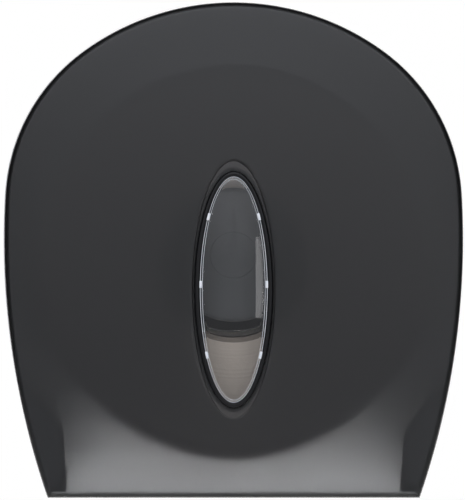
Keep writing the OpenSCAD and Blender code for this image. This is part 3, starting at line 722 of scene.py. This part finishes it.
inner_skin += [
    edge_ring(edge_r - inner_r * cos(t), wall_front + inner_r * sin(t))
    for t in (pi / 2 * i / inner_steps for i in range(inner_steps, -1, -1))
]
inner_skin += [side_ring(wall, i / side_steps) for i in range(side_steps - 1, 0, -1)]
inner_skin += [side_ring(wall, 0, 0.5), side_ring(wall - 0.12, 0, 0.15), side_ring(wall - 0.5, 0)]
cover = lofted("Front_cover", outer_skin + inner_skin, from_wall(0, -window_down, 0), True)

# the hole for the lock, with a sunk seat for its head
lock_out = 44
lock_top = top_h + flare * (wall_front - lock_out) / (wall_front - plate_front)
drill_long = 20
for drill_r, drill_low in ((8.65, lock_top - 12), (10.15, lock_top - 1.35)):
    bpy.ops.object.select_all(action="DESELECT")
    bpy.ops.mesh.primitive_cylinder_add(
        vertices=96, radius=drill_r / 1000, depth=drill_long / 1000,
        location=from_wall(0, drill_low + drill_long / 2, lock_out))
    drill = bpy.context.object
    cut = cover.modifiers.new("Lock_hole", "BOOLEAN")
    cut.object, cut.operation, cut.solver = drill, "DIFFERENCE", "EXACT"
    bpy.ops.object.select_all(action="DESELECT")
    cover.select_set(True)
    bpy.context.view_layer.objects.active = cover
    bpy.ops.object.modifier_apply(modifier=cut.name)
    bpy.data.objects.remove(drill)


def see_through(tree, clear, passed, tint, density):
    """Clear plastic that lets lamplight in, as real sheet does, and takes light away in its depth."""
    add(tree, "LightPath")
    ray = tree.nodes[-1].outputs["Is Shadow Ray"]
    open_to_light = add(tree, "BsdfTransparent", Color=passed)
    surface = add(tree, "MixShader", Fac=ray, _1=clear, _2=open_to_light)
    depth = add(tree, "VolumeAbsorption", Color=tint, Density=density)
    add(tree, "OutputMaterial", Surface=surface, Volume=depth)


# grey all through, so that about an eighth of the light gets past: the roll behind is a dark blur.
# The front is satin and blurs what it mirrors, and the side walls and their rounding are glossy
smoke, tree = new_material("Smoke_polycarbonate_moulded")
grain_mm = 0.8
satin_out = wall_front + 2.5
glossy_out = wall_front + 1
add(tree, "TexCoord")
place = tree.nodes[-1].outputs["Object"]
grain = add(tree, "TexNoise", Vector=place, Scale=1000 / grain_mm, Detail=2.0)
bump = add(tree, "Bump", Height=grain, Strength=0.05, Distance=0.00003)
add(tree, "SeparateXYZ", Vector=place)
depth = tree.nodes[-1].outputs["Y"]
satin = add(
    tree, "MapRange", Value=depth, From_Min=-satin_out / 1000, From_Max=-glossy_out / 1000,
    To_Min=0.38, To_Max=0.04)
frosted = add(
    tree, "BsdfPrincipled", Base_Color=linear("F9F9FA"), Transmission_Weight=1.0,
    Roughness=satin, Normal=bump, IOR=1.55)
see_through(tree, frosted, linear("FAFAFA"), linear("D6D6D7"), 2800)
dress(cover, "cover", smoke)
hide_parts("front_cover")


# --- Window bezel ---
# A glossy black ABS ring that snaps into the cover's collar, with a rounded face, a ledge for the
# lens and a bead behind the collar.

window_steps = 192
window_turns = [tau * i / window_steps - pi / 2 for i in range(window_steps)]
bezel_w = 2.9
snap = 0.15
lens_lift = -0.8
lens_skirt = 4.5
lens_low = lens_lift - lens_skirt


def hole_front(inset, lift):
    """A ring at a distance in from the window hole, that follows the cover's face."""
    return on_front(oval_points(hole_w - 2 * inset, hole_h - 2 * inset, window_turns), lift)


def hole_flat(inset, out):
    """A level ring at a distance in from the window hole."""
    oval = oval_points(hole_w - 2 * inset, hole_h - 2 * inset, window_turns)
    return [from_wall(x, z, out) for x, z in oval]


bezel_half = (bezel_w - snap) / 2
bezel_ledge = bezel_w + 0.9
bezel_back = 126.3
face_steps = 10
bezel = lofted("Window_bezel", [
    hole_flat(-0.4, bezel_back), hole_flat(-0.9, 126.8), hole_flat(-0.9, 127.3), hole_flat(snap, 127.7),
    *(hole_front(snap + bezel_half * (1 - cos(t)), -0.2 - 0.7 * (1 - sin(t)))
      for t in (pi * i / face_steps for i in range(face_steps + 1))),
    hole_front(bezel_w, lens_low - 0.05), hole_front(bezel_ledge, lens_low - 0.05),
    hole_flat(bezel_ledge, bezel_back),
], from_wall(0, -window_down, 0), True)

# deep black, with a soft line of light along its rounded face and no more
black_abs, tree = new_material("Black_ABS_polished")
cloud_mm = 20
add(tree, "TexCoord")
cloud = add(tree, "TexNoise", Vector=tree.nodes[-1].outputs["Object"], Scale=1000 / cloud_mm, Detail=4.0)
polish = add(tree, "MapRange", Value=cloud, From_Min=0.3, From_Max=0.7, To_Min=0.3, To_Max=0.36)
finish_material(tree, add(
    tree, "BsdfPrincipled", Base_Color=linear("101012"), Roughness=polish, IOR=1.5,
    Specular_IOR_Level=0.27))
dress(bezel, "cover", black_abs)
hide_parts("window_bezel")


# --- Window lens ---
# A clear dome moulded in polycarbonate, on a short skirt with a flat rim round the dome. It is
# pushed into the bezel from behind, and its face is plain.

lens_inset = bezel_w + snap
lens_wall = 1.6
lens_rise = 1.8
lens_half_w = hole_w / 2 - lens_inset
lens_half_h = hole_h / 2 - lens_inset
rim_w = 1.7
rim_lift = lens_lift - 0.1


def lens_flat(inset, lift):
    """A ring at a distance in from the lens's edge, a little above or below the cover's face."""
    w, h = 2 * (lens_half_w - inset), 2 * (lens_half_h - inset)
    return on_front(oval_points(w, h, window_turns), lift)


def lens_dome(inset, lift):
    """The same ring, raised by the lens's dome."""
    w, h = 2 * (lens_half_w - inset), 2 * (lens_half_h - inset)
    domed = []
    for x, z in oval_points(w, h, window_turns):
        edge = (x / lens_half_w) ** 2 + ((z + window_down) / lens_half_h) ** 2
        domed.append(from_wall(x, z, front_out(x, z) + lift + lens_rise * (1 - edge)))
    return domed


dome_insets = (18.8, 16, 13, 10, 7.5, 5.5, 3.8, 2.6)
lens = lofted("Window_lens", [
    *(lens_dome(inset, lens_lift) for inset in dome_insets),
    lens_dome(rim_w + 0.25, lens_lift), lens_dome(rim_w + 0.1, lens_lift - 0.08),
    lens_flat(rim_w, rim_lift + 0.1), lens_flat(rim_w - 0.12, rim_lift),
    lens_flat(0.4, rim_lift), lens_flat(0.15, rim_lift - 0.07), lens_flat(0.02, rim_lift - 0.25),
    lens_flat(0, rim_lift - 0.5), lens_flat(0, lens_low + 0.15), lens_flat(0.15, lens_low),
    lens_flat(lens_wall - 0.15, lens_low), lens_flat(lens_wall, lens_low + 0.15),
    lens_flat(lens_wall, lens_lift - lens_wall),
    *(lens_dome(inset, lens_lift - lens_wall) for inset in reversed(dome_insets)),
], from_wall(0, -window_down, 0), False)

# polished, so the hub and the paper are sharp behind one clean reflection, and faintly grey
clear_pc, tree = new_material("Clear_polycarbonate_polished")
polished = add(
    tree, "BsdfPrincipled", Base_Color=linear("FFFFFF"), Transmission_Weight=1.0, Roughness=0.0, IOR=1.5)
see_through(tree, polished, linear("FAFAFA"), linear("ECEBEA"), 750)
dress(lens, "cover", clear_pc)
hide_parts("window_lens")


# --- Lens edge ---
# Two fine ridges moulded round the lens's edge, and six small clips that bridge it to the bezel, all of
# the same clear polycarbonate, coloured near white as a painted highlight.

# painted highlight: near white under a glossy coat, standing in for the light that the clear edge
# carries and shows as fine bright lines
painted_highlight_pc, tree = new_material("Clear_polycarbonate_painted_highlight")
cloud_mm = 4
add(tree, "TexCoord")
place = tree.nodes[-1].outputs["Object"]
cloud = add(tree, "TexNoise", Vector=place, Scale=1000 / cloud_mm, Detail=3.0)
shade = add(tree, "ValToRGB", Fac=cloud)
ramp = tree.nodes[-1].color_ramp
ramp.elements[0].position, ramp.elements[1].position = 0.35, 0.65
ramp.elements[0].color, ramp.elements[1].color = linear("E4E8EE"), linear("FAFBFD")
highlight_surface = add(
    tree, "BsdfPrincipled", Base_Color=shade, Roughness=0.25, IOR=1.5, Coat_Weight=1.0,
    Coat_Roughness=0.05)
finish_material(tree, highlight_surface)


def lens_ridge(name, inset, width, height):
    """A low rounded ridge on the lens's rim, at a distance in from its edge."""
    foot, flank, top = rim_lift + 0.02, rim_lift + height * 0.7, rim_lift + height
    ridge = lofted(name, [
        lens_flat(inset, foot), lens_flat(inset + 0.05, flank), lens_flat(inset + width * 0.3, top),
        lens_flat(inset + width * 0.7, top), lens_flat(inset + width - 0.05, flank),
        lens_flat(inset + width, foot),
    ], from_wall(0, -window_down, 0), True)
    dress(ridge, "cover", painted_highlight_pc)


# the ridges carry the painted highlight of the lens's rim
lens_ridge("Lens_outer_ridge", 0.05, 0.4, 0.35)
lens_ridge("Lens_inner_ridge", 1.3, 0.35, 0.3)

clip_wide, clip_high, clip_long = 1.5, 0.7, 4.2
clip_lift = 0.35
clip_in = 0.5
bpy.ops.object.select_all(action="DESELECT")
bpy.ops.mesh.primitive_cube_add(size=1)
first_clip = bpy.context.object
first_clip.scale = Vector((clip_wide, clip_high, clip_long)) / 1000
bpy.ops.object.transform_apply()
bpy.ops.object.mode_set(mode="EDIT")
bpy.ops.mesh.select_all(action="SELECT")
bpy.ops.mesh.bevel(offset=0.0002, segments=2)
bpy.ops.object.mode_set(mode="OBJECT")

# each copy lies on the lens's edge, in the direction of a spot given from the window's middle
clip_spots = [(side * x, z) for x, z in ((14.5, 42), (19, 3), (16, -39)) for side in (-1, 1)]
for number, (spot_x, spot_z) in enumerate(clip_spots):
    clip = first_clip.copy()
    clip.data = first_clip.data.copy()
    clip.name = "Lens_clip_%d" % (number + 1)
    bpy.context.scene.collection.objects.link(clip)
    bpy.ops.object.select_all(action="DESELECT")
    clip.select_set(True)
    bpy.context.view_layer.objects.active = clip
    along = atan2(spot_z / lens_half_h ** 2, spot_x / lens_half_w ** 2)
    scale = 1 / sqrt((spot_x / (lens_half_w - clip_in)) ** 2 + (spot_z / (lens_half_h - clip_in)) ** 2)
    x, z = spot_x * scale, spot_z * scale - window_down
    clip.rotation_euler = (0, -along, 0)
    clip.location = from_wall(x, z, front_out(x, z) + rim_lift + clip_lift + clip_high / 2)
    bpy.ops.object.transform_apply()
    dress(clip, "cover", painted_highlight_pc)
bpy.data.objects.remove(first_clip)
